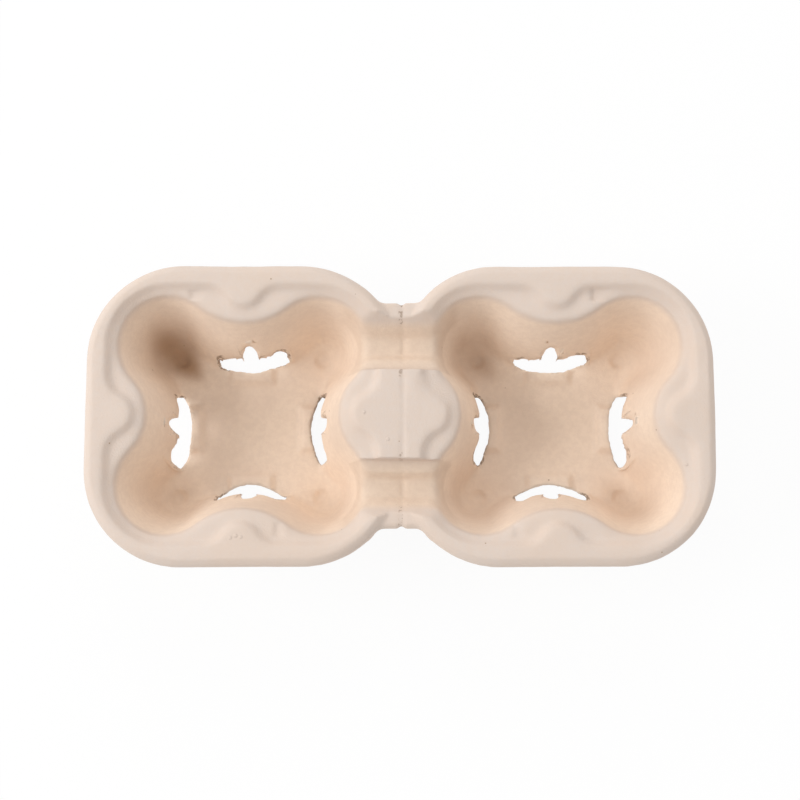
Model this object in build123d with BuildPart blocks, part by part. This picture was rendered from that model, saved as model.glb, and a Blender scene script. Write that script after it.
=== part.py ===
from build123d import *
from math import atan, cos, degrees, isclose, radians, sqrt, tan
import os

os.makedirs("parts", exist_ok=True)

# A moulded pulp carrier for two cups, in millimetres.
# It stands on z = 0, with the origin under the middle of the waist.
# X runs from one cup well to the other, and Y runs across the carrier.

# Whole carrier
HEIGHT = 45.0
WALL = 2.2

# Rim: a rounded rectangle round each well, with a short drafted skirt
CELL_LENGTH = 110.0
CELL_WIDTH = 106.0
CELL_CORNER = 34.0
SKIRT_HEIGHT = 6.0
SKIRT_DRAFT = 6.0
RIM_BEVEL = 2.0

# Lip: a ledge a little below the rim, reached by a short slope
RIM_LAND = 7.0
LIP_CORNER = 22.0
LIP_DROP = 2.5
LIP_SLOPE_RUN = 2.0
LEDGE = 3.6

# Bump of the rim over each flute, and the width of the ledge between the two
BUMP_RADIUS = 6.0
BUMP_FOOT_RADIUS = 9.0
END_BUMP_LEDGE = 4.5
SIDE_BUMP_LEDGE = 5.6

# Well: four lobes joined by four inward flutes, with one lean all round
MOUTH_LOBE_RADIUS = 17.8
FLOOR_LOBE_RADIUS = 5.8
END_FLUTE_RADIUS = 17.2
SIDE_FLUTE_RADIUS = 25.3

# The flat floor stops short of the lobes' tips and slopes up into them
FLOOR_STOP = 3.7
FLOOR_SLOPE = 42.0

# Slot cut straight down through the foot of each flute: an arc, with a nub that reaches up the flute
SLOT_LENGTH = 26.5
SLOT_WIDTH = 3.6
SLOT_RADIUS = 26.0
SLOT_INSET = 0.4
NUB_WIDTH = 5.2
NUB_REACH = 6.6

# Stop on the floor just inside each slot, with ramped sides
STOP_LENGTH = 18.5
STOP_DEPTH = 5.0
STOP_HEIGHT = 2.4
STOP_SLOPE = 45.0
STOP_CLEARANCE = 0.2

# Waist: a low strip along each edge, then a groove that links the lobes, then the pad in the middle
STRIP_INSET = 13.2
STRIP_WIDTH = 3.8
STRIP_DROP = 2.5
STRIP_BEVEL = 1.0
WAIST_ROUND = 4.0
GROOVE_OUTER_RUN = 8.0
GROOVE_FLOOR_WIDTH = 6.0
GROOVE_INNER_RUN = 6.5
GROOVE_DEPTH = 11.0

# Tear line across the waist
TEAR_WIDTH = 2.6
TEAR_DEPTH = 0.5
TEAR_OFFSET = 1.0

# How far a cutter runs past the face that it cuts
PAST = 2.0

cell_centres = ((-CELL_LENGTH / 2, 0), (CELL_LENGTH / 2, 0))
rim_bottom = HEIGHT - SKIRT_HEIGHT
lip_level = HEIGHT - LIP_DROP
strip_level = HEIGHT - STRIP_DROP
groove_floor = HEIGHT - GROOVE_DEPTH

# Across the waist, from its edge inwards
strip_edge = CELL_WIDTH / 2 - STRIP_INSET
groove_outer_top = strip_edge - STRIP_WIDTH
groove_outer_foot = groove_outer_top - GROOVE_OUTER_RUN
groove_inner_foot = groove_outer_foot - GROOVE_FLOOR_WIDTH
groove_inner_top = groove_inner_foot - GROOVE_INNER_RUN

# Size of the lip's top edge, and the centres of the lobes inside it
lip_length = CELL_LENGTH - 2 * RIM_LAND
lip_width = CELL_WIDTH - 2 * RIM_LAND
lobe_x = lip_length / 2 - LEDGE - MOUTH_LOBE_RADIUS
lobe_y = lip_width / 2 - LEDGE - MOUTH_LOBE_RADIUS
lobe_gap = CELL_LENGTH / 2 - lobe_x

# Centres of the flutes' arcs, each of which touches the lobes on both sides of it
flute_x = lobe_x + sqrt((MOUTH_LOBE_RADIUS + END_FLUTE_RADIUS) ** 2 - lobe_y**2)
flute_y = lobe_y + sqrt((MOUTH_LOBE_RADIUS + SIDE_FLUTE_RADIUS) ** 2 - lobe_x**2)

# Lean of the wall from the floor up to the mouth, and where the flutes stand on the floor
flare = MOUTH_LOBE_RADIUS - FLOOR_LOBE_RADIUS
lean = atan(flare / (lip_level - WALL))
foot_x = flute_x - END_FLUTE_RADIUS - flare
foot_y = flute_y - SIDE_FLUTE_RADIUS - flare

# Slope of the lip from the vertical, and how far out its underside lies at the same height
lip_angle = degrees(atan(LIP_SLOPE_RUN / LIP_DROP))
lip_wall = WALL * tan(radians(90 - lip_angle) / 2)


def well_outline(growth):
    """Draw the outline of a well as eight tangent arcs, moved out from the mouth's by growth."""
    lobe = Vector(lobe_x, lobe_y)
    reach = MOUTH_LOBE_RADIUS + growth
    end_join = lobe + (Vector(flute_x, 0) - lobe).normalized() * reach
    side_join = lobe + (Vector(0, flute_y) - lobe).normalized() * reach
    tip = lobe + Vector(1, 1).normalized() * reach
    end_peak = foot_x + flare + growth
    side_peak = foot_y + flare + growth
    with BuildLine() as outline:
        for x, y in ((1, 1), (-1, 1), (-1, -1), (1, -1)):
            ThreePointArc(*[(x * point.X, y * point.Y) for point in (end_join, tip, side_join)])
        for side in (1, -1):
            end = side * end_join.X
            ThreePointArc((end, -end_join.Y), (side * end_peak, 0), (end, end_join.Y))
            edge = side * side_join.Y
            ThreePointArc((-side_join.X, edge), (0, side * side_peak), (side_join.X, edge))
    make_face(outline.edges())


def well_block(low, wall):
    """Make the space of a well from z = low up to the lip, moved out by a wall's thickness."""
    floor_reach = FLOOR_LOBE_RADIUS - FLOOR_STOP + wall * tan(radians(FLOOR_SLOPE / 2))
    top_reach = floor_reach + (lip_level - low) / tan(radians(FLOOR_SLOPE))
    with BuildPart() as block:
        for z in (low, lip_level):
            with BuildSketch(Plane.XY.offset(z)):
                well_outline(wall / cos(lean) - (lip_level - z) * tan(lean))
        loft(ruled=True)
        # The edge of the floor, which slopes up into the lobes
        with BuildSketch(Plane.XY.offset(lip_level)):
            RectangleRounded(2 * (lobe_x + top_reach), 2 * (lobe_y + top_reach), top_reach)
        extrude(amount=low - lip_level, taper=90 - FLOOR_SLOPE, mode=Mode.INTERSECT)
    return block.part


def groove_profile(side):
    """Draw the section of the groove on one side of the pad, from its floor to the rim."""
    with BuildLine() as profile:
        Polyline(
            (side * groove_inner_top, HEIGHT),
            (side * groove_inner_foot, groove_floor),
            (side * groove_outer_foot, groove_floor),
            (side * groove_outer_top, HEIGHT),
            close=True,
        )
    make_face(profile.edges())


def around(end_reach, side_reach):
    """Four places round the middle of a well, each turned so that its own X axis points outwards."""
    return [
        Location((0, 0, 0), (0, 0, 90 * turn)) * Location(((end_reach, side_reach)[turn % 2], 0, 0))
        for turn in range(4)
    ]


# Bump of the rim, as a finger whose round end is centred on the origin
with BuildSketch() as bump:
    Circle(BUMP_RADIUS)
    Rectangle(CELL_LENGTH, 2 * BUMP_RADIUS, align=(Align.MIN, Align.CENTER))

# Top edge of the lip: a rounded rectangle with a bump pushed in over each flute
end_bump = foot_x + flare + END_BUMP_LEDGE + BUMP_RADIUS
side_bump = foot_y + flare + SIDE_BUMP_LEDGE + BUMP_RADIUS
with BuildSketch() as lip_edge:
    RectangleRounded(lip_length, lip_width, LIP_CORNER)
    with Locations(*around(end_bump, side_bump)):
        add(bump.sketch, mode=Mode.SUBTRACT)
    # Moved in and out again, the outline gets a round foot on both sides of each bump
    offset(amount=-BUMP_FOOT_RADIUS)
    offset(amount=BUMP_FOOT_RADIUS)

# Outside of one rim plate, with its drafted skirt and bevelled edge
with BuildPart() as rim_plate:
    with BuildSketch(Plane.XY.offset(rim_bottom)):
        RectangleRounded(CELL_LENGTH, CELL_WIDTH, CELL_CORNER)
    extrude(amount=SKIRT_HEIGHT, taper=SKIRT_DRAFT)
    chamfer(rim_plate.edges().group_by(Axis.Z)[-1], RIM_BEVEL)

# Space under one rim plate, a wall smaller all round
with BuildPart() as rim_underside:
    with BuildSketch(Plane.XY.offset(rim_bottom)):
        RectangleRounded(CELL_LENGTH - 2 * WALL, CELL_WIDTH - 2 * WALL, CELL_CORNER - WALL)
    extrude(amount=SKIRT_HEIGHT - WALL, taper=SKIRT_DRAFT)

# Space inside one well, with its lip and the air above the rim
well_inside = well_block(WALL, 0)
with BuildPart() as well_space:
    add(well_inside)
    with BuildSketch(Plane.XY.offset(HEIGHT)):
        add(lip_edge.sketch)
    extrude(amount=-LIP_DROP, taper=lip_angle)
    with BuildSketch(Plane.XY.offset(HEIGHT)):
        Rectangle(CELL_LENGTH, CELL_WIDTH)
    extrude(amount=PAST)

# Outside of one well, from its foot up to the lip, whose underside passes straight below the bumps
well_shell = well_block(0, WALL)
with BuildPart() as well_outside:
    add(well_shell)
    with BuildSketch(Plane.XY.offset(HEIGHT - WALL)):
        RectangleRounded(lip_length + 2 * lip_wall, lip_width + 2 * lip_wall, LIP_CORNER + lip_wall)
    extrude(amount=-LIP_DROP, taper=lip_angle)

# Space inside both wells and the two grooves that link them
with BuildPart() as inside:
    with Locations(*cell_centres):
        add(well_space.part)
    with BuildSketch(Plane.YZ):
        for side in (1, -1):
            groove_profile(side)
    extrude(amount=lobe_gap, both=True)

# Outside of both wells and both grooves
with BuildPart() as outside:
    with Locations(*cell_centres):
        add(well_outside.part)
    with BuildSketch(Plane.YZ):
        for side in (1, -1):
            groove_profile(side)
        offset(amount=WALL, kind=Kind.INTERSECTION)
    extrude(amount=lobe_gap, both=True)

# Outside of the rim and the waist, with a rounded corner where each strip meets a cell
with BuildPart() as rim:
    with BuildSketch(Plane.XY.offset(rim_bottom)) as waist_outline:
        Rectangle(2 * CELL_CORNER, 2 * strip_edge)
        with Locations(*cell_centres):
            RectangleRounded(CELL_LENGTH, CELL_WIDTH, CELL_CORNER)
        fillet(waist_outline.vertices().filter_by(lambda v: isclose(abs(v.Y), strip_edge)), WAIST_ROUND)
        Rectangle(2 * CELL_CORNER, CELL_WIDTH, mode=Mode.INTERSECT)
    extrude(amount=SKIRT_HEIGHT - STRIP_DROP, taper=SKIRT_DRAFT)
    chamfer(rim.edges().group_by(Axis.Z)[-1].filter_by(Axis.X), STRIP_BEVEL)
    # The pad at rim height in the middle, as wide as the cells' rims on both sides of it
    with BuildSketch(Plane.XY.offset(rim_bottom)):
        Rectangle(2 * RIM_LAND, groove_inner_foot + groove_outer_foot)
    extrude(amount=SKIRT_HEIGHT)
    with Locations(*cell_centres):
        add(rim_plate.part)

# The rim and the waist as a shell, open below
with BuildPart() as rim_shell:
    add(rim.part)
    with Locations(*cell_centres):
        add(rim_underside.part, mode=Mode.SUBTRACT)
    with BuildSketch(Plane.XY.offset(rim_bottom)):
        Rectangle(2 * CELL_CORNER, 2 * (strip_edge - WALL))
    extrude(amount=SKIRT_HEIGHT - STRIP_DROP - WALL, taper=SKIRT_DRAFT, mode=Mode.SUBTRACT)
    with BuildSketch(Plane.XY.offset(rim_bottom)):
        Rectangle(2 * RIM_LAND, 2 * groove_inner_top - WALL)
    extrude(amount=SKIRT_HEIGHT - WALL, mode=Mode.SUBTRACT)

# Stop, as a block that the slot will cut off along its inner edge at x = 0
stop_far_side = SLOT_WIDTH - STOP_CLEARANCE
with BuildPart() as stop:
    with BuildSketch(Plane.XY.offset(WALL)):
        with Locations((stop_far_side, 0)):
            Rectangle(STOP_DEPTH + stop_far_side, STOP_LENGTH, align=(Align.MAX, Align.CENTER))
    extrude(amount=STOP_HEIGHT, taper=STOP_SLOPE)

# Slot, as a cutter whose inner edge touches x = 0 in the middle
slot_centreline = SLOT_RADIUS - SLOT_WIDTH / 2
slot_half_angle = degrees((SLOT_LENGTH - SLOT_WIDTH) / 2 / slot_centreline)
nub_centre = NUB_REACH - NUB_WIDTH / 2
with BuildPart() as slot:
    with BuildSketch(Plane.XY.offset(-PAST)):
        SlotArc(
            CenterArc((SLOT_RADIUS, 0), slot_centreline, 180 - slot_half_angle, 2 * slot_half_angle),
            SLOT_WIDTH,
        )
        with Locations((nub_centre, 0)):
            Circle(NUB_WIDTH / 2)
            Rectangle(nub_centre - SLOT_WIDTH / 2, NUB_WIDTH, align=(Align.MAX, Align.CENTER))
    extrude(amount=PAST + rim_bottom)

# Section across half of the waist, sunk by the depth of the tear line
strip_foot = groove_outer_top - GROOVE_OUTER_RUN * STRIP_DROP / GROOVE_DEPTH
tear_section = [
    (groove_inner_top, HEIGHT - TEAR_DEPTH),
    (groove_inner_foot, groove_floor - TEAR_DEPTH),
    (groove_outer_foot, groove_floor - TEAR_DEPTH),
    (strip_foot, strip_level - TEAR_DEPTH),
    (strip_edge + PAST, strip_level - TEAR_DEPTH),
    (strip_edge + PAST, HEIGHT + PAST),
]

with BuildPart() as cup_carrier:
    # The wells and grooves, cut off above by the rim and the waist
    with BuildSketch(Plane.XY):
        Rectangle(2 * CELL_LENGTH, CELL_WIDTH)
    extrude(amount=rim_bottom)
    add(rim.part)
    add(outside.part, mode=Mode.INTERSECT)

    # The rim and the waist, then the space inside the wells and grooves
    add(rim_shell.part)
    add(inside.part, mode=Mode.SUBTRACT)

    # A stop and a slot at the foot of each flute
    with Locations(*cell_centres):
        with Locations(*around(foot_x - SLOT_INSET, foot_y - SLOT_INSET)):
            add(stop.part)
            add(slot.part, mode=Mode.SUBTRACT)

    # The tear line
    with BuildSketch(Plane.YZ.offset(TEAR_OFFSET)):
        with BuildLine():
            Polyline(*tear_section, *[(-y, z) for y, z in reversed(tear_section)], close=True)
        make_face()
    extrude(amount=TEAR_WIDTH / 2, both=True, mode=Mode.SUBTRACT)

cup_carrier.part.label = "cup_carrier"
export_step(cup_carrier.part, "parts/cup_carrier.step")
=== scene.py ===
"""A carrier of moulded paper pulp for two cups, dressed and lit for rendering."""

import math

import bpy
import numpy as np
from bpy.props import FloatProperty, FloatVectorProperty, IntProperty, PointerProperty
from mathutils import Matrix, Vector, noise


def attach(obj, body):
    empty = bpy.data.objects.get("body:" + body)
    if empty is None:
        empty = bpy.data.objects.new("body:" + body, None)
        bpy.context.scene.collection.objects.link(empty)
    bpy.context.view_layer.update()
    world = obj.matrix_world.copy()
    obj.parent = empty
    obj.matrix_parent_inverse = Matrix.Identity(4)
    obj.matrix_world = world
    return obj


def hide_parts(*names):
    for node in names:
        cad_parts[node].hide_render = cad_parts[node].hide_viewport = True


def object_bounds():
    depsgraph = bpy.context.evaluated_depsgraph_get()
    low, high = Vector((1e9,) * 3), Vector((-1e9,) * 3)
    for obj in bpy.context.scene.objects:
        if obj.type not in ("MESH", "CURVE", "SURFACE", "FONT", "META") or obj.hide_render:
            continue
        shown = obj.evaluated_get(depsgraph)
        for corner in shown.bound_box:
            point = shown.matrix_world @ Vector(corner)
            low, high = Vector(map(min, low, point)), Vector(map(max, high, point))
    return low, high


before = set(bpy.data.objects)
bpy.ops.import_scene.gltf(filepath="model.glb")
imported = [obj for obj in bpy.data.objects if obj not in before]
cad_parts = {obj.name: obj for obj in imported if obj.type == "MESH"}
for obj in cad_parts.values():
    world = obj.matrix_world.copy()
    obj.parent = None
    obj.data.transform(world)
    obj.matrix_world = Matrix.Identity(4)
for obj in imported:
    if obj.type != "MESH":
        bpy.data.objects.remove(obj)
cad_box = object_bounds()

bl_info = {
    "name": "Pulp cup carrier",
    "version": (1, 0, 0),
    "blender": (4, 5, 0),
    "location": "3D View > Sidebar > Carrier",
    "description": "Moulds a two-cup carrier from its solid and sets a plain studio round it",
    "category": "Object",
}

MM = 0.001
NODE = "cup_carrier"

# Sizes of the solid that the finish follows, in millimetres
box_low, box_high = (np.array(corner) / MM for corner in cad_box)
LENGTH, WIDTH, HEIGHT = box_high - box_low
CELL_LENGTH = LENGTH / 2
CELL_CORNER = 34.0
LIP_TOP = HEIGHT - 2.5
WELLS = {"left": -CELL_LENGTH / 2, "right": CELL_LENGTH / 2}

# Slots at the feet of the flutes: arcs with a nub, whose inner edges lie this far from a well's middle
END_SLOT = 21.89
SIDE_SLOT = 20.83
SLOT_LENGTH = 26.5
SLOT_WIDTH = 3.6
SLOT_RADIUS = 26.0
SLOT_TOP = 26.0
NUB_WIDTH = 5.2
NUB_REACH = 6.6
# The flutes' walls lean out by this much for each millimetre up, and rise out of the floor at these heights
LEAN = 0.28
WALL_START = (4, 9)
# Distances from a slot's middle where its ends begin and where they hold fully
SLOT_ENDS = (3, 12)
# Distances from a slot's edge where the cut leaves the pulp alone and where it moves it fully
CUT_REACH = (3.2, 0.8)
# Share of the punch by which a nub's sides widen, and share of its height by which a cut edge may slide
NUB_PUNCH = 0.8
SLIDE_LIMIT = 0.6
# How much shorter the frayed threads are on the walls than on the floor
WALL_THREADS = 0.7
# Browning that wanders along the cut edges: its mean, its swing and its most
BROWNING = (0.25, 1.2, 0.6)
# How each slot was punched: its well and the way out to it, then at its low and its high end along X or Y
# how far the outer edge comes in, how far the inner edge does, how far the end runs on, and its browning
SLOT_CUTS = (
    ("left", (0, 1), (1.9, 0.4), (-0.4, 0.9), (-0.8, 1.2), (1.0, 0.2)),
    ("left", (0, -1), (0.2, 0.2), (1.6, 1.7), (-0.7, 0.6), (0.7, 0.4)),
    ("left", (-1, 0), (0.0, 1.1), (-0.2, 0.5), (2.2, -0.7), (0.0, 0.3)),
    ("left", (1, 0), (0.3, 0.7), (0.1, 0.8), (0.6, -0.7), (0.1, 0.9)),
    ("right", (0, 1), (2.0, 0.8), (0.0, 0.3), (0.2, 1.8), (0.1, 0.5)),
    ("right", (0, -1), (-0.4, -0.2), (1.2, 0.5), (0.2, 0.9), (0.2, 0.4)),
    ("right", (-1, 0), (0.1, 0.3), (0.4, 0.4), (0.8, -0.7), (0.8, 0.9)),
    ("right", (1, 0), (0.2, 0.3), (0.2, 0.3), (1.8, -0.6), (0.1, 0.3)),
)

# Waist: half widths of the pad and over the strips, how far the pad's sides flare and are squared up again
PAD_EDGE = 15.5
STRIP_EDGE = 39.8
PAD_FLARE = 5
PAD_SQUARING = 0.85
# The whole waist lies above this height
WAIST_FOOT = HEIGHT - 16
# Tear line along Y: its two edges, how wide they are, its marks, and its notches' middle and half width
TEAR_LOW = -0.3
TEAR_HIGH = 2.3
TEAR_EDGE = 0.5
TEAR_MARKS = 0.2
NOTCH_MIDDLE = 0.5
NOTCH_HALF = 1.6
# How much more the felt fills it in the middle of the pad
MIDDLE_FILL = 1.4

# Pips that the mould's vents leave on the pad and the lips
PIPS = ((-12.5, 0.4), (-4.2, -9.1), (-58.2, -43.1), (-56.3, -42.4), (-54.6, -42.9), (99.2, -17.5))
PIP_RADIUS = 0.8

# Marks that stacked carriers leave across the lip: well, x and y from its middle, width, length and the
# share of the depth
SPACER_MARKS = (
    ("left", -18.6, 42.4, 5.0, 3.2, 0.7),
    ("left", 12.0, -40.0, 3.6, 4.6, 0.7),
    ("right", 12.4, 42.4, 8.5, 4.4, 1.0),
    ("right", -15.4, -40.6, 4.0, 4.4, 0.5),
)
# Half the width of a mark's steep left edge, and where its ends fade, in half lengths
MARK_EDGE = 1.2
MARK_ENDS = (1.25, 0.75)
# Dimples in the floor under the tips of the lobes, from the middle of a well, and the share that is flat
DIMPLE_X = 26.3
DIMPLE_Y = 25.8
DIMPLE_FLAT = 0.3
# Painted shade down the valleys of the lobes, strongest in those that the lamps leave in shadow: well, side
# along X, side along Y, strength
PAINTED_SHADE_VALLEYS = (
    ("left", -1, 1, 0.8),
    ("left", -1, -1, 0.26),
    ("left", 1, 1, 0.05),
    ("left", 1, -1, 0.16),
    ("right", -1, 1, 0.45),
    ("right", -1, -1, 0.06),
    ("right", 1, 1, 0.03),
    ("right", 1, -1, 0.32),
)
# How wide a valley's painted shade is, how far out from the well's middle it starts, and how strong the
# painted shade in the grooves is
VALLEY_WIDTH = 9
VALLEY_START = (14, 23)
GROOVE_PAINTED_SHADE = 0.28

# Random fields: how many millimetres their features are across, and their seeds
FIELDS = {
    "browning": (5, 17),
    "waver": (6, 5),
    "threads": (1.4, 3),
    "warp": (30, 7),
    "lumps": (4, 11),
}

# Zones of the surface, each a product of fades: what is measured of the points, the value where the fade
# is 0 and the value where it is 1, in millimetres
RIM = ("height", HEIGHT - 4.5, HEIGHT - 3)
ON_LIP = ("height", HEIGHT - 9, HEIGHT - 6)
ON_FLOOR = ("height", 16, 12)
LOW_IN_WELL = ("height", HEIGHT - 5, 5)
TEAR = (
    ("x", TEAR_LOW - TEAR_EDGE, TEAR_LOW + TEAR_EDGE),
    ("x", TEAR_HIGH + TEAR_EDGE, TEAR_HIGH - TEAR_EDGE),
)
MIDDLE_OF_PAD = ("aside", 9, 4)
STRIP_END = ("aside", STRIP_EDGE - 3.5, STRIP_EDGE - 1)
PAD_SIDES = (("across", 22, 18), ("height", HEIGHT - 8, HEIGHT - 4))
PAD_SLOPE = (RIM, ("across", 4, 6), ("across", 20, 17), ("aside", PAD_EDGE - 0.2, PAD_EDGE - 2))
GROOVES = (
    ("across", 31, 27),
    ("height", HEIGHT - 20, HEIGHT - 16),
    ("aside", PAD_EDGE + 0.5, PAD_EDGE + 2.5),
    ("aside", STRIP_EDGE - 5, STRIP_EDGE - 7.5),
)
EARS = (
    ("across", 7, 10),
    ("across", 24, 20),
    ("height", WAIST_FOOT, HEIGHT - 12),
    ("aside", STRIP_EDGE - 9, STRIP_EDGE - 7),
    ("aside", STRIP_EDGE - 1, STRIP_EDGE - 2.5),
)
# Where shade is painted into the grooves: across the waist, deep in them, and down the pad's slope into them
PAINTED_SHADE_GROOVES = (("across", 24, 18), ("height", HEIGHT - 20, HEIGHT - 16))
DEEP_IN_GROOVE = ("height", HEIGHT - 3, HEIGHT - 7)
PAINTED_SHADE_SLOPE = (
    ("aside", PAD_EDGE - 0.4, PAD_EDGE + 0.6),
    ("height", HEIGHT - 0.5, HEIGHT - 2.5),
    ("aside", PAD_EDGE + 8, PAD_EDGE + 5),
)
# Zones whose softness differs from the plain edges', each laid over the ones before it
SOFT_ZONES = (
    ("wall_radius", (("height", 12, 16), ("height", HEIGHT - 5, HEIGHT - 8), ("from_slot", 2, 4))),
    ("rim_radius", (("inside", 5, 3), RIM)),
    ("mouth_radius", (("inside", 9, 11), ("height", HEIGHT - 12, HEIGHT - 6))),
    ("lip_radius", (("inside", 4.5, 6), ("height", LIP_TOP - 0.4, LIP_TOP + 0.3))),
    ("crisp_radius", (("across", 14, 11), ("height", WAIST_FOOT, HEIGHT - 14))),
    ("lip_radius", GROOVES),
    ("roll_radius", (*GROOVES, ("across", 9, 14))),
    ("crisp_radius", (*GROOVES, ("from_tear", 3, 2))),
    ("lip_radius", EARS),
    ("lip_radius", PAD_SLOPE),
    # The pad's slope is worn at its far right
    ("roll_radius", (*PAD_SLOPE, ("x", 4, 6), ("y", 0, 5))),
    ("stop_radius", (("height", 9, 7), ("from_slot", 9, 7))),
    # The wells' floors roll up into the lobes
    ("roll_radius", (("height", 14, 8), ("from_middle", 26, 30))),
    ("cut_radius", (("from_slot", 1.6, 0.4), ("height", 8, 5))),
)

# Studio: half the floor's side in metres, the hair that it lies below the pulp so that the two faces don't
# fight, the camera's sensor in millimetres and the nearest thing that it sees
FLOOR_REACH = 3.0
FLOOR_GAP = 0.05 * MM
SENSOR_WIDTH = 36
NEAREST_SEEN = 10 * MM


def linear(code):
    """Turn an sRGB hex colour into the linear colour that shaders use."""
    shares = [int(code[i : i + 2], 16) / 255 for i in (1, 3, 5)]
    return [s / 12.92 if s <= 0.04045 else ((s + 0.055) / 1.055) ** 2.4 for s in shares]


class PulpForm(bpy.types.PropertyGroup):
    """Sizes of the moulded surface."""

    step: FloatProperty(
        name="Surface step",
        description="Distance between the points of the moulded surface",
        default=0.6 * MM,
        min=0.4 * MM,
        unit="LENGTH",
    )
    triangles: IntProperty(
        name="Triangles",
        description="Triangles that the finished surface may have",
        default=190000,
    )
    edge_radius: FloatProperty(
        name="Edge radius",
        description="How far a plain edge is softened by the felt of fibres",
        default=0.8 * MM,
        unit="LENGTH",
    )
    crisp_radius: FloatProperty(
        name="Crisp radius",
        description="How far the edges of the pad, the strips and the tear line are softened",
        default=0.45 * MM,
        unit="LENGTH",
    )
    cut_radius: FloatProperty(
        name="Cut radius",
        description="How far the punched edges of the slots are softened",
        default=0.2 * MM,
        unit="LENGTH",
    )
    rim_radius: FloatProperty(
        name="Rim radius",
        description="How far the rim's outer edge rolls over",
        default=0.9 * MM,
        unit="LENGTH",
    )
    lip_radius: FloatProperty(
        name="Lip radius",
        description="How far the slope between the rim and the lip, and the grooves, are softened",
        default=1.5 * MM,
        unit="LENGTH",
    )
    mouth_radius: FloatProperty(
        name="Mouth radius",
        description="How far the lip rolls over into the wells",
        default=1.3 * MM,
        unit="LENGTH",
    )
    wall_radius: FloatProperty(
        name="Wall radius",
        description="How far the walls are smoothed",
        default=2.2 * MM,
        unit="LENGTH",
    )
    stop_radius: FloatProperty(
        name="Stop radius",
        description="How far the stops beside the slots are softened",
        default=0.85 * MM,
        unit="LENGTH",
    )
    roll_radius: FloatProperty(
        name="Roll radius",
        description="How far the wells' floors roll up and the ends of the grooves roll over",
        default=2.6 * MM,
        unit="LENGTH",
    )
    warp: FloatProperty(
        name="Warp",
        description="How far drying has pulled the walls out of true",
        default=0.35 * MM,
        unit="LENGTH",
    )
    lumps: FloatProperty(
        name="Lumps",
        description="Height of the unevenness of the felt",
        default=0.06 * MM,
        unit="LENGTH",
    )
    mark_depth: FloatProperty(
        name="Mark depth",
        description="Depth of the marks that stacked carriers leave across the lip",
        default=1.1 * MM,
        unit="LENGTH",
    )
    dimple_radius: FloatProperty(
        name="Dimple radius",
        description="Radius of the dimples in the floor",
        default=3.9 * MM,
        unit="LENGTH",
    )
    dimple_depth: FloatProperty(
        name="Dimple depth",
        description="Depth of the dimples in the floor",
        default=1.1 * MM,
        unit="LENGTH",
    )
    tear_fill: FloatProperty(
        name="Tear fill",
        description="How far the felt fills the tear line",
        default=0.1 * MM,
        unit="LENGTH",
    )
    notch_depth: FloatProperty(
        name="Notch depth",
        description="Depth of the notch at both ends of the tear line",
        default=0.9 * MM,
        unit="LENGTH",
    )
    punch: FloatProperty(
        name="Punch",
        description="How far beyond the solid's the slots' ends and outer edges are punched",
        default=0.45 * MM,
        unit="LENGTH",
    )
    waver: FloatProperty(
        name="Waver",
        description="How far the slots' edges wander along their length",
        default=0.5 * MM,
        unit="LENGTH",
    )
    fray: FloatProperty(
        name="Fray",
        description="How far the cut edges of the slots are ragged",
        default=0.35 * MM,
        unit="LENGTH",
    )
    browning: FloatProperty(
        name="Browning",
        description="How far the browned fibres reach from the cut edges of the slots",
        default=0.9 * MM,
        unit="LENGTH",
    )


class PulpColours(bpy.types.PropertyGroup):
    """Colours of the pulp."""

    # The rim's pulp is set greyer than that of the wells and grooves, which is paler and warmer
    rim: FloatVectorProperty(
        name="Rim",
        description="Pulp of the rim, which is rubbed paler",
        default=linear("#DCCCC0"),
        subtype="COLOR",
    )
    well: FloatVectorProperty(
        name="Wells",
        description="Pulp of the wells and grooves",
        default=linear("#F3DFCB"),
        subtype="COLOR",
    )
    warm: FloatVectorProperty(
        name="Warm pulp",
        description="Soft patches where the pulp dried darker",
        default=linear("#DEC8B6"),
        subtype="COLOR",
    )
    # Painted shade: brown laid down the lobes' valleys and into the grooves, where shade falls
    painted_shade: FloatVectorProperty(
        name="Stains",
        description="Browner pulp down the lobes, which dry last",
        default=linear("#AA8769"),
        subtype="COLOR",
    )
    speck: FloatVectorProperty(
        name="Specks",
        description="Specks of bark in the pulp",
        default=linear("#B0967E"),
        subtype="COLOR",
    )
    cut: FloatVectorProperty(
        name="Cut fibres",
        description="Browned fibres along the slots",
        default=linear("#8E735C"),
        subtype="COLOR",
    )


class StudioSettings(bpy.types.PropertyGroup):
    """Camera, light and floor."""

    camera_distance: FloatProperty(
        name="Camera distance",
        description="From the camera to the middle of the rim",
        default=590 * MM,
        unit="LENGTH",
    )
    camera_elevation: FloatProperty(
        name="Camera elevation",
        description="Height of the view above the horizon",
        default=math.radians(81.6),
        subtype="ANGLE",
    )
    aim: FloatVectorProperty(
        name="Aim",
        description="Point at the middle of the picture",
        default=(0, 4.6 * MM, 45 * MM),
        subtype="TRANSLATION",
        unit="LENGTH",
    )
    lens: FloatProperty(
        name="Lens",
        description="Focal length on a 36 mm sensor",
        default=76.57,
        unit="CAMERA",
    )
    left_power: FloatProperty(
        name="Left power",
        description="Power of the soft lamp at the left",
        default=18.6,
        unit="POWER",
    )
    back_power: FloatProperty(
        name="Back power",
        description="Power of the soft lamp at the back",
        default=8.4,
        unit="POWER",
    )
    lamp_distance: FloatProperty(
        name="Lamp distance",
        description="From the lamps to the object",
        default=2.0,
        unit="LENGTH",
    )
    lamp_elevation: FloatProperty(
        name="Lamp elevation",
        description="Height of the lamps above the horizon",
        default=math.radians(37),
        subtype="ANGLE",
    )
    fill: FloatProperty(
        name="Fill",
        description="Strength of the even light from all round",
        default=0.68,
    )
    floor: FloatVectorProperty(
        name="Floor",
        description="Colour of the floor",
        default=linear("#F7F7F7"),
        subtype="COLOR",
    )
    floor_white: FloatProperty(
        name="Floor white",
        description="Share of plain white that the floor shows to the camera",
        default=0.93,
        subtype="FACTOR",
    )


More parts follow.
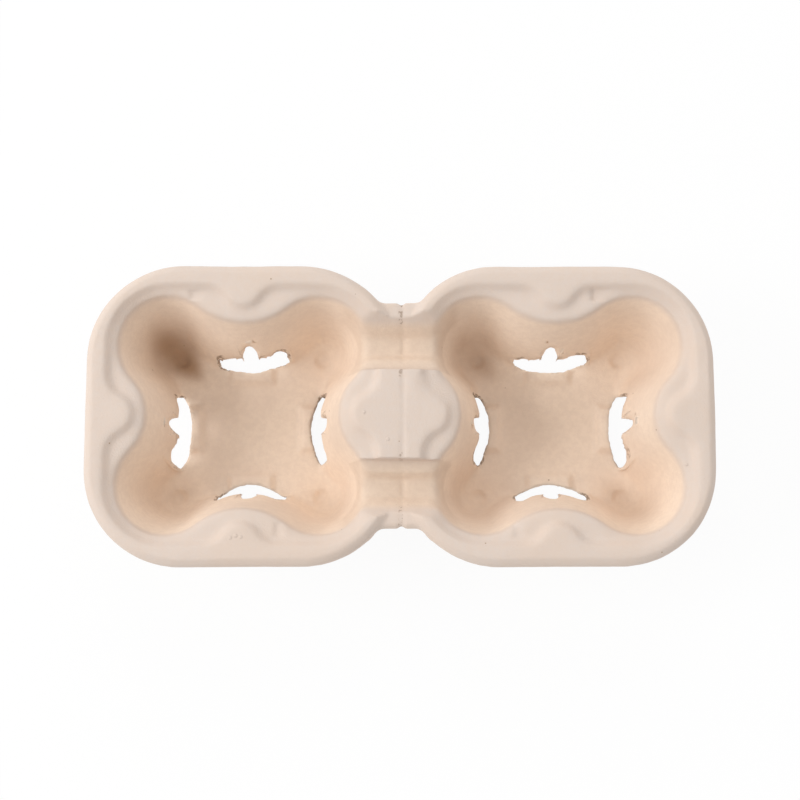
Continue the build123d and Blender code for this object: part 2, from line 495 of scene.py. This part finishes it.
def add_node(tree, kind, inputs=None, **settings):
    """Add a node, with its settings, and with each input set to a value or linked to a socket."""
    node = tree.nodes.new(kind)
    for name, value in settings.items():
        setattr(node, name, value)
    for name, value in (inputs or {}).items():
        if isinstance(value, bpy.types.NodeSocket):
            tree.links.new(value, node.inputs[name])
        else:
            node.inputs[name].default_value = value
    return node


def new_material(name):
    """Make an empty node material, and return it with its node tree."""
    material = bpy.data.materials.new(name)
    material.use_nodes = True
    material.node_tree.nodes.clear()
    return material, material.node_tree


def smoothstep(low, high, values):
    """Rise from 0 at low to 1 at high, level at both ends."""
    share = np.clip((values - low) / (high - low), 0, 1)
    return share * share * (3 - 2 * share)


def modified(piece, kind, **settings):
    """Give a piece's mesh one modifier and replace the mesh with the result."""
    modifier = piece.modifiers.new(kind.title(), kind)
    for name, value in settings.items():
        setattr(modifier, name, value)
    graph = bpy.context.evaluated_depsgraph_get()
    mesh = bpy.data.meshes.new_from_object(piece.evaluated_get(graph))
    piece.modifiers.clear()
    old = piece.data
    piece.data = mesh
    bpy.data.meshes.remove(old)


def read_points(mesh):
    """Return a mesh's points as an array, in millimetres."""
    points = np.empty(len(mesh.vertices) * 3)
    mesh.vertices.foreach_get("co", points)
    return points.reshape(-1, 3) / MM


def read_edges(mesh):
    """Return the pairs of points that a mesh's edges join."""
    edges = np.empty(len(mesh.edges) * 2, int)
    mesh.edges.foreach_get("vertices", edges)
    return edges.reshape(-1, 2)


def write_points(mesh, points):
    """Put points, in millimetres, back into their mesh."""
    mesh.vertices.foreach_set("co", (points * MM).ravel())
    mesh.update()


def relaxed(points, edges, step, radii):
    """Soften a surface, each point over a radius of its own, towards the mean of its neighbours."""
    first, second = edges.T
    count = len(points)
    neighbours = np.bincount(edges.ravel(), minlength=count)
    # One round at half strength spreads a point over about half a step
    widest = radii.max()
    strength = 0.5 * (radii / widest) ** 2
    for _ in range(round((2 * widest / step) ** 2)):
        for axis in range(3):
            line = points[:, axis]
            total = np.bincount(first, line[second], count) + np.bincount(second, line[first], count)
            points[:, axis] = line + strength * (total / neighbours - line)
    return points


def noise_field(points, name):
    """Return one field's smooth random vector at each point."""
    size, seed = FIELDS[name]
    # Unseeded, this noise starts from the clock
    noise.seed_set(seed)
    place = Vector((seed, seed, seed))
    return np.array([noise.noise_vector(Vector(p) / size + place) for p in points])


def from_cell_edge(points):
    """Measure how far each point lies inside the outline of its cell, seen from above."""
    x = np.abs(np.abs(points[:, 0]) - CELL_LENGTH / 2)
    y = np.abs(points[:, 1])
    past_x = x - (CELL_LENGTH / 2 - CELL_CORNER)
    past_y = y - (WIDTH / 2 - CELL_CORNER)
    outside = np.hypot(np.maximum(past_x, 0), np.maximum(past_y, 0))
    return CELL_CORNER - outside - np.minimum(np.maximum(past_x, past_y), 0)


def slot_frames(x, y):
    """Turn places from a well's middle into places out from and along its end and side slots."""
    return (np.abs(x) - END_SLOT, y), (np.abs(y) - SIDE_SLOT, x)


def from_slot_edge(x, y):
    """Measure how far each place lies outside the nearest slot, seen from above."""
    centreline = SLOT_RADIUS - SLOT_WIDTH / 2
    half_angle = (SLOT_LENGTH - SLOT_WIDTH) / 2 / centreline
    nub_centre = NUB_REACH - NUB_WIDTH / 2
    gaps = []
    for out, along in slot_frames(x, y):
        angle = np.arctan2(np.abs(along), SLOT_RADIUS - out)
        beside = np.abs(np.hypot(SLOT_RADIUS - out, along) - centreline)
        end_out = SLOT_RADIUS - centreline * math.cos(half_angle)
        end_along = centreline * math.sin(half_angle)
        beyond = np.hypot(out - end_out, np.abs(along) - end_along)
        gaps.append(np.where(angle < half_angle, beside, beyond) - SLOT_WIDTH / 2)
        gaps.append(np.hypot(out - np.clip(out, SLOT_WIDTH / 2, nub_centre), along) - NUB_WIDTH / 2)
    return np.minimum.reduce(gaps)


def slot_gaps(points):
    """Measure each point's distance from the nearest slot, and the way out from it, seen from above."""
    side = np.sign(points[:, 0])
    x = side * points[:, 0] - CELL_LENGTH / 2
    y = points[:, 1]
    reach = 0.05
    slope_x = from_slot_edge(x + reach, y) - from_slot_edge(x - reach, y)
    slope_y = from_slot_edge(x, y + reach) - from_slot_edge(x, y - reach)
    return from_slot_edge(x, y), np.stack([side * slope_x, slope_y], axis=1) / (2 * reach)


def slot_ends(points):
    """Give, slot by slot, its points, the way out to it, their shares in its two ends and its cuts."""
    x = points[:, 0] - np.where(points[:, 0] < 0, WELLS["left"], WELLS["right"])
    y = points[:, 1]
    for well, way, *cuts in SLOT_CUTS:
        out = x * way[0] + y * way[1]
        along = x * abs(way[1]) + y * abs(way[0])
        near = (points[:, 0] * WELLS[well] > 0) & (out > np.abs(along))
        shares = np.stack([smoothstep(*SLOT_ENDS, -along[near]), smoothstep(*SLOT_ENDS, along[near])])
        yield near, way, shares, cuts


def measured(points):
    """Measure each point, in millimetres, in the ways that the zones name."""
    x, y, z = points.T
    x_well = np.abs(x) - CELL_LENGTH / 2
    return {
        "x": x,
        "y": y,
        "height": z,
        "across": np.abs(x),
        "aside": np.abs(y),
        "inside": from_cell_edge(points),
        "from_middle": np.hypot(x_well, y),
        "from_slot": np.abs(from_slot_edge(x_well, y)),
        "from_tear": np.abs(x - (TEAR_LOW + TEAR_HIGH) / 2),
    }


def in_zone(measures, *fades):
    """Say from 0 to 1 how far each point lies in a zone."""
    share = 1.0
    for name, low, high in fades:
        share = share * smoothstep(low, high, measures[name])
    return share


def browned(points, normals, reach):
    """Say from 0 to 1 how browned each point is: in places along the cut edges of the slots."""
    gap, way = slot_gaps(points)
    # How fast the gap widens along the surface, which turns the gap into a distance over the surface
    steepest = 0.06
    rate = np.sqrt(np.clip(1 - (way * normals[:, :2]).sum(axis=1) ** 2, steepest, 1))
    distance = np.abs(gap) / rate
    low = smoothstep(SLOT_TOP - 2, SLOT_TOP - 6, points[:, 2])
    amount = smoothstep(reach, reach / 4, distance) * low
    at_slot = amount > 0
    mean, swing, most = BROWNING
    amount[at_slot] *= np.clip(mean + swing * noise_field(points[at_slot], "browning")[:, 0], 0, most)
    edge = smoothstep(1.5 * reach, reach / 4, distance) * low
    for near, _, shares, (_, _, _, browning) in slot_ends(points):
        # The power draws the browning to the very ends
        amount[near] += edge[near] * (np.array(browning) @ shares**5)
    return np.clip(amount, 0, 1)


def softness(points, form):
    """Choose the radius, in millimetres, over which each point is softened."""
    measures = measured(points)
    radii = np.full(len(points), form.edge_radius)
    for name, fades in SOFT_ZONES:
        radii += (getattr(form, name) - radii) * in_zone(measures, *fades)
    return radii / MM


def squared_pad(points):
    """Return how far the pad's sides move in at their top, so that its edges run on across the lips."""
    measures = measured(points)
    past = measures["aside"] - PAD_EDGE
    squared = np.clip(past, 0, PAD_FLARE) * smoothstep(PAD_FLARE, PAD_FLARE - 2, past)
    moved = np.zeros_like(points)
    moved[:, 1] = -np.sign(points[:, 1]) * squared * in_zone(measures, *PAD_SIDES) * PAD_SQUARING
    return moved


def ragged_slots(points, form):
    """Return how far each point near a slot moves, so that every slot is cut its own way and frays."""
    gap, away = slot_gaps(points)
    near = smoothstep(*CUT_REACH, np.abs(gap)) * smoothstep(SLOT_TOP, SLOT_TOP - 2, points[:, 2])
    at_slot = near > 0
    height = points[:, 2]
    rough = np.zeros(len(points))
    rough[at_slot] = noise_field(points[at_slot], "waver")[:, 0] * (form.waver / MM)
    # The walls stand so steep that threads as long as the floor's would hang far down
    threads = noise_field(points[at_slot], "threads")[:, 0] * (form.fray / MM)
    rough[at_slot] += threads * (1 - WALL_THREADS * smoothstep(*WALL_START, height[at_slot]))
    moved = np.zeros_like(points)
    for mine, way, shares, (outer, inner, longer, _) in slot_ends(points):
        outer, inner, longer = [np.array(pair) @ shares for pair in (outer, inner, longer)]
        out = away[mine] @ np.array(way)
        along = away[mine] @ np.abs(way[::-1])
        outside = np.maximum(out, 0)
        nub_sides = NUB_PUNCH * form.punch / MM * (1 - shares.sum(axis=0))
        move_out = outside * (form.punch / MM - outer) - np.minimum(out, 0) * inner + out * rough[mine]
        move_along = along * (longer + rough[mine] + nub_sides)
        for axis in (0, 1):
            moved[mine, axis] = move_out * way[axis] + move_along * abs(way[1 - axis])
        # A wall's cut edge slides along the wall, so that the wall keeps its place
        furthest = SLIDE_LIMIT * height[mine]
        moved[mine, 2] = np.clip(outside * move_out / LEAN, -furthest, furthest)
    return moved * near[:, None]


def spacer_marks(points, depth):
    """Return how far the marks across the lip sink each point: steep at the left, easing to the right."""
    sink = np.zeros(len(points))
    for well, x, y, width, length, share in SPACER_MARKS:
        across = points[:, 0] - WELLS[well] - x
        along = np.abs(points[:, 1] - y) / (length / 2)
        profile = smoothstep(-MARK_EDGE, MARK_EDGE, across) * np.clip(1 - across / width, 0, 1)
        sink += share * depth * profile * smoothstep(*MARK_ENDS, along)
    return sink * in_zone(measured(points), ON_LIP)


def dimples(points, radius, depth):
    """Return how far the dimples in the floor sink each point."""
    x = np.abs(np.abs(points[:, 0]) - CELL_LENGTH / 2) - DIMPLE_X
    y = np.abs(points[:, 1]) - DIMPLE_Y
    hollow = smoothstep(radius, radius * DIMPLE_FLAT, np.hypot(x, y))
    return depth * hollow * in_zone(measured(points), ON_FLOOR)


def painted_shade_amounts(points, normals):
    """Say from 0 to 1 how much shade is painted on each point: down the inside of a lobe's valley, most at
    its foot, and in the grooves.
    """
    measures = measured(points)
    low = in_zone(measures, LOW_IN_WELL)
    # Only faces that look up, which leaves out the wells' outsides
    upward = smoothstep(-0.1, 0.15, normals[:, 2])
    total = np.zeros(len(points))
    for well, x_side, y_side, strength in PAINTED_SHADE_VALLEYS:
        x = (points[:, 0] - WELLS[well]) * x_side
        y = points[:, 1] * y_side
        across = (x * DIMPLE_Y - y * DIMPLE_X) / math.hypot(DIMPLE_X, DIMPLE_Y)
        valley = np.exp(-((across / VALLEY_WIDTH) ** 2)) * smoothstep(*VALLEY_START, np.minimum(x, y))
        total += strength * valley * low * upward
    # Shade is painted a little into the grooves, on the pad's side from its very edge
    deep = in_zone(measures, DEEP_IN_GROOVE) * (measures["aside"] > PAD_EDGE)
    browner = np.maximum(in_zone(measures, *PAINTED_SHADE_SLOPE), deep)
    total += GROOVE_PAINTED_SHADE * in_zone(measures, *PAINTED_SHADE_GROOVES) * browner
    return np.clip(total, 0, 1)


def tear_line(points, fill, notch):
    """Return how far each point moves where the felt fills the tear line, most in the middle of the pad, and
    in the notches at its two ends."""
    measures = measured(points)
    moved = np.zeros_like(points)
    moved[:, 2] = fill * in_zone(measures, *TEAR) * (1 + MIDDLE_FILL * in_zone(measures, MIDDLE_OF_PAD))
    end = in_zone(measures, STRIP_END) * (measures["height"] > WAIST_FOOT)
    cut = np.clip(1 - np.abs(measures["x"] - NOTCH_MIDDLE) / NOTCH_HALF, 0, 1)
    moved[:, 1] = -np.sign(measures["y"]) * notch * end * cut
    return moved


def pulp_material(colours):
    """Recycled paper pulp, vacuum moulded and oven dried: matt, warm and faintly mottled, with a felt
    of short fibres, a few specks of bark, and browned fibres where it is punched or torn."""
    material, tree = new_material("moulded paper pulp")
    place = add_node(tree, "ShaderNodeTexCoord").outputs["Object"]
    x, y, z = add_node(tree, "ShaderNodeSeparateXYZ", {"Vector": place}).outputs
    cut = add_node(tree, "ShaderNodeAttribute", attribute_name="cut").outputs["Fac"]
    painted_shade = add_node(tree, "ShaderNodeAttribute", attribute_name="painted_shade").outputs["Fac"]

    # Noise whose features are so many millimetres across. Real fibres are 0.03 mm wide, and the felt of them
    # is drawn 0.7 mm wide so that it shows
    noises = {}
    for name, size, detail, roughness in (
        ("patches", 28, 2, 0.5),
        ("clumps", 2.5, 4, 0.7),
        ("breaks", 1.2, 2, 0.5),
        ("felt", 0.7, 3, 0.7),
    ):
        inputs = {"Vector": place, "Scale": 1 / (size * MM), "Detail": detail, "Roughness": roughness}
        noises[name] = add_node(tree, "ShaderNodeTexNoise", inputs).outputs["Fac"]

    # Specks of bark, real ones 0.1 to 0.3 mm, drawn 0.5 mm wide so that they show, in cells 5 mm apart
    cells = add_node(tree, "ShaderNodeTexVoronoi", {"Vector": place, "Scale": 1 / (5 * MM)})
    tone = add_node(tree, "ShaderNodeSeparateColor", {"Color": cells.outputs["Color"]}).outputs["Red"]

    # Distance from the tear line, which wanders a little, and from the middle of the waist
    wander = 2
    inputs = {0: noises["clumps"], 1: wander * MM, 2: x}
    wandering = add_node(tree, "ShaderNodeMath", inputs, operation="MULTIPLY_ADD").outputs[0]
    inputs = {0: wandering, 1: (TEAR_MARKS + wander / 2) * MM}
    from_tear = add_node(tree, "ShaderNodeMath", inputs, operation="SUBTRACT").outputs[0]
    beside = add_node(tree, "ShaderNodeMath", {0: from_tear}, operation="ABSOLUTE").outputs[0]
    across = add_node(tree, "ShaderNodeMath", {0: y}, operation="ABSOLUTE").outputs[0]
    inputs = {0: across, 1: (PAD_EDGE - 1) * MM}
    beyond_pad = add_node(tree, "ShaderNodeMath", inputs, operation="SUBTRACT").outputs[0]
    from_pad_end = add_node(tree, "ShaderNodeMath", {0: beyond_pad}, operation="ABSOLUTE").outputs[0]
    torn = (
        (beside, 0.9 * MM, 0.3 * MM),
        (noises["breaks"], 0.5, 0.58),
        (z, (HEIGHT - 8) * MM, (HEIGHT - 6) * MM),
    )

    # Coats of colour, each as strong as the product of its shares, which rise from 0 to 1 between two values
    colour = (*colours.rim, 1)
    for coat, strength, shares in (
        # The wells are warmer than the rim, and painted shade darkens the lobes' valleys
        (colours.well, 1.0, ((z, (HEIGHT - 2.8) * MM, (HEIGHT - 7.5) * MM),)),
        (colours.warm, 0.35, ((noises["patches"], 0.4, 0.65),)),
        (colours.warm, 0.3, ((noises["clumps"], 0.35, 0.65),)),
        # Painted shade down the lobes' valleys and in the grooves
        (colours.painted_shade, 1.0, ((painted_shade, 0, 1),)),
        (colours.speck, 1.0, ((tone, 0.84, 0.86), (cells.outputs["Distance"], 0.07, 0.04))),
        # Browned fibres along the slots, and along the tear line on the strips and at the pad's ends
        (colours.cut, 0.8, ((cut, 0.3, 0.9), (noises["breaks"], 0.35, 0.55))),
        (colours.cut, 0.6, (*torn, (across, (STRIP_EDGE - 8.5) * MM, (STRIP_EDGE - 7) * MM))),
        (colours.cut, 0.5, (*torn, (from_pad_end, 2 * MM, MM))),
    ):
        amount = strength
        for value, low, high in shares:
            inputs = {"Value": value, "From Min": low, "From Max": high}
            share = add_node(tree, "ShaderNodeMapRange", inputs, interpolation_type="SMOOTHSTEP").outputs[0]
            amount = add_node(tree, "ShaderNodeMath", {0: amount, 1: share}, operation="MULTIPLY").outputs[0]
        inputs = {0: amount, 6: colour, 7: (*coat, 1)}
        colour = add_node(tree, "ShaderNodeMix", inputs, data_type="RGBA").outputs[2]

    # Relief: clumps of fibre, then the felt, then the pips that the mould's vents leave
    plan = add_node(tree, "ShaderNodeCombineXYZ", {"X": x, "Y": y}).outputs["Vector"]
    nearest = 1.0
    for pip in PIPS:
        centre = (pip[0] * MM, pip[1] * MM, 0)
        inputs = {0: plan, 1: centre}
        reach = add_node(tree, "ShaderNodeVectorMath", inputs, operation="DISTANCE").outputs["Value"]
        nearest = add_node(tree, "ShaderNodeMath", {0: nearest, 1: reach}, operation="MINIMUM").outputs[0]
    inputs = {"Value": nearest, "From Min": PIP_RADIUS * MM, "From Max": 0.3 * PIP_RADIUS * MM}
    pips = add_node(tree, "ShaderNodeMapRange", inputs, interpolation_type="SMOOTHSTEP").outputs["Result"]
    relief = {}
    for height, depth in ((noises["clumps"], 0.09), (noises["felt"], 0.12), (pips, 0.2)):
        inputs = {"Height": height, "Distance": depth * MM, "Strength": 1.0, **relief}
        relief = {"Normal": add_node(tree, "ShaderNodeBump", inputs).outputs["Normal"]}
    shader = add_node(
        tree,
        "ShaderNodeBsdfPrincipled",
        {
            "Base Color": colour,
            "Roughness": 0.92,
            "IOR": 1.5,
            "Specular IOR Level": 0.3,
            "Sheen Weight": 0.08,
            "Sheen Roughness": 0.6,
            **relief,
        },
    )
    add_node(tree, "ShaderNodeOutputMaterial", {"Surface": shader.outputs["BSDF"]})
    return material


def background_rays(tree):
    """Return 1 for the rays that see the white background: from the camera, a gloss or a glass."""
    seen = add_node(tree, "ShaderNodeLightPath").outputs
    inputs = {0: seen["Is Camera Ray"], 1: seen["Is Glossy Ray"]}
    some = add_node(tree, "ShaderNodeMath", inputs, operation="MAXIMUM").outputs[0]
    inputs = {0: some, 1: seen["Is Transmission Ray"]}
    return add_node(tree, "ShaderNodeMath", inputs, operation="MAXIMUM").outputs[0]


def floor_material(studio):
    """Matt white paper sweep: the camera sees it almost white, and it keeps the object's shadow."""
    material, tree = new_material("white paper sweep")
    inputs = {0: background_rays(tree), 1: studio.floor_white}
    share = add_node(tree, "ShaderNodeMath", inputs, operation="MULTIPLY")
    paper = add_node(tree, "ShaderNodeBsdfDiffuse", {"Color": (*studio.floor, 1)})
    white = add_node(tree, "ShaderNodeEmission", {"Color": (1, 1, 1, 1), "Strength": 1.0})
    inputs = {"Fac": share.outputs[0], 1: paper.outputs["BSDF"], 2: white.outputs["Emission"]}
    mix = add_node(tree, "ShaderNodeMixShader", inputs)
    add_node(tree, "ShaderNodeOutputMaterial", {"Surface": mix.outputs["Shader"]})
    return material


class CARRIER_OT_mould_body(bpy.types.Operator):
    """Mould the carrier's body in pulp over its solid"""

    bl_idname = "carrier.mould_body"
    bl_label = "Mould body"

    def execute(self, context):
        form = context.scene.pulp_form
        step = form.step / MM
        body = bpy.data.objects.new("moulded_body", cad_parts[NODE].data.copy())
        context.scene.collection.objects.link(body)
        modified(body, "REMESH", mode="VOXEL", voxel_size=form.step)

        mesh = body.data
        sharp = read_points(mesh)
        normals = np.empty(len(sharp) * 3)
        mesh.vertices.foreach_get("normal", normals)
        normals = normals.reshape(-1, 3)
        cut = browned(sharp, normals, form.browning / MM)
        points = relaxed(sharp.copy(), read_edges(mesh), step, softness(sharp, form))
        points += squared_pad(points)
        points += ragged_slots(points, form)
        points += noise_field(points, "warp") * (form.warp / MM) * smoothstep(0, 10, points[:, 2])[:, None]
        points += noise_field(points, "lumps") * (form.lumps / MM)
        points += tear_line(points, form.tear_fill / MM, form.notch_depth / MM)
        points[:, 2] -= spacer_marks(points, form.mark_depth / MM)
        points[:, 2] -= dimples(points, form.dimple_radius / MM, form.dimple_depth / MM)
        points = np.clip(points, box_low, box_high)
        write_points(mesh, points)
        # Keep the browning of the cut edges and the painted shade on the points
        for name, values in (("cut", cut), ("painted_shade", painted_shade_amounts(points, normals))):
            mesh.attributes.new(name, "FLOAT", "POINT").data.foreach_set("value", values)

        mesh.calc_loop_triangles()
        ratio = min(1.0, form.triangles / len(mesh.loop_triangles))
        modified(body, "DECIMATE", ratio=ratio)
        write_points(body.data, np.clip(read_points(body.data), box_low, box_high))
        body.data.shade_smooth()
        body.data.name = "moulded_body"
        body.data.materials.clear()
        body.data.materials.append(pulp_material(context.scene.pulp_colours))
        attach(body, "root")
        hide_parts(NODE)
        return {"FINISHED"}


class CARRIER_OT_set_studio(bpy.types.Operator):
    """Lay the floor and set the camera, the lamps and the even light"""

    bl_idname = "carrier.set_studio"
    bl_label = "Set studio"

    def execute(self, context):
        scene = context.scene
        studio = scene.studio_settings
        scene.view_settings.view_transform = "Standard"

        mesh = bpy.data.meshes.new("studio_floor")
        sides = ((-1, -1), (1, -1), (1, 1), (-1, 1))
        corners = [(x * FLOOR_REACH, y * FLOOR_REACH, -FLOOR_GAP) for x, y in sides]
        mesh.from_pydata(corners, [], [(0, 1, 2, 3)])
        floor = bpy.data.objects.new("studio_floor", mesh)
        mesh.materials.append(floor_material(studio))
        scene.collection.objects.link(floor)

        aim = Vector(studio.aim)
        elevation = studio.camera_elevation
        back = Vector((0, -math.cos(elevation), math.sin(elevation)))
        camera = bpy.data.objects.new("camera", bpy.data.cameras.new("camera"))
        camera.data.lens = studio.lens
        camera.data.sensor_width = SENSOR_WIDTH
        camera.data.clip_start = NEAREST_SEEN
        camera.location = aim + back * studio.camera_distance
        camera.rotation_mode = "QUATERNION"
        camera.rotation_quaternion = (-back).to_track_quat("-Z", "Y")
        scene.collection.objects.link(camera)
        scene.camera = camera

        level = math.cos(studio.lamp_elevation)
        for name, power, x, y in (
            ("left_lamp", studio.left_power, -level, 0.0),
            ("back_lamp", studio.back_power, 0.0, level),
        ):
            lamp = bpy.data.lights.new(name, "AREA")
            lamp.energy = power
            lamp.size = studio.lamp_distance / 2
            holder = bpy.data.objects.new(name, lamp)
            towards = Vector((x, y, math.sin(studio.lamp_elevation)))
            holder.location = aim + towards * studio.lamp_distance
            holder.rotation_mode = "QUATERNION"
            holder.rotation_quaternion = (-towards).to_track_quat("-Z", "Y")
            scene.collection.objects.link(holder)

        world = bpy.data.worlds.new("studio")
        world.use_nodes = True
        tree = world.node_tree
        tree.nodes.clear()
        fill = add_node(tree, "ShaderNodeBackground", {"Color": (1, 1, 1, 1), "Strength": studio.fill})
        white = add_node(tree, "ShaderNodeBackground", {"Color": (1, 1, 1, 1), "Strength": 1.0})
        inputs = {"Fac": background_rays(tree), 1: fill.outputs[0], 2: white.outputs[0]}
        mix = add_node(tree, "ShaderNodeMixShader", inputs)
        add_node(tree, "ShaderNodeOutputWorld", {"Surface": mix.outputs["Shader"]})
        scene.world = world
        return {"FINISHED"}


class CARRIER_PT_panel(bpy.types.Panel):
    """Sizes and colours of the carrier, and the steps that make it"""

    bl_label = "Pulp cup carrier"
    bl_space_type = "VIEW_3D"
    bl_region_type = "UI"
    bl_category = "Carrier"

    def draw(self, context):
        scene = context.scene
        for settings in (scene.pulp_form, scene.pulp_colours, scene.studio_settings):
            box = self.layout.box()
            for name in type(settings).__annotations__:
                box.prop(settings, name)
        for operator in (CARRIER_OT_mould_body, CARRIER_OT_set_studio):
            self.layout.operator(operator.bl_idname)


CLASSES = (
    PulpForm,
    PulpColours,
    StudioSettings,
    CARRIER_OT_mould_body,
    CARRIER_OT_set_studio,
    CARRIER_PT_panel,
)


def register():
    """Register the classes and hang the settings on the scene."""
    for item in CLASSES:
        bpy.utils.register_class(item)
    bpy.types.Scene.pulp_form = PointerProperty(type=PulpForm)
    bpy.types.Scene.pulp_colours = PointerProperty(type=PulpColours)
    bpy.types.Scene.studio_settings = PointerProperty(type=StudioSettings)


def unregister():
    """Take the settings off the scene and unregister the classes."""
    del bpy.types.Scene.studio_settings
    del bpy.types.Scene.pulp_colours
    del bpy.types.Scene.pulp_form
    for item in reversed(CLASSES):
        bpy.utils.unregister_class(item)


def main():
    """Make the carrier and its studio."""
    register()
    bpy.ops.carrier.mould_body()
    bpy.ops.carrier.set_studio()


if __name__ == "__main__":
    main()
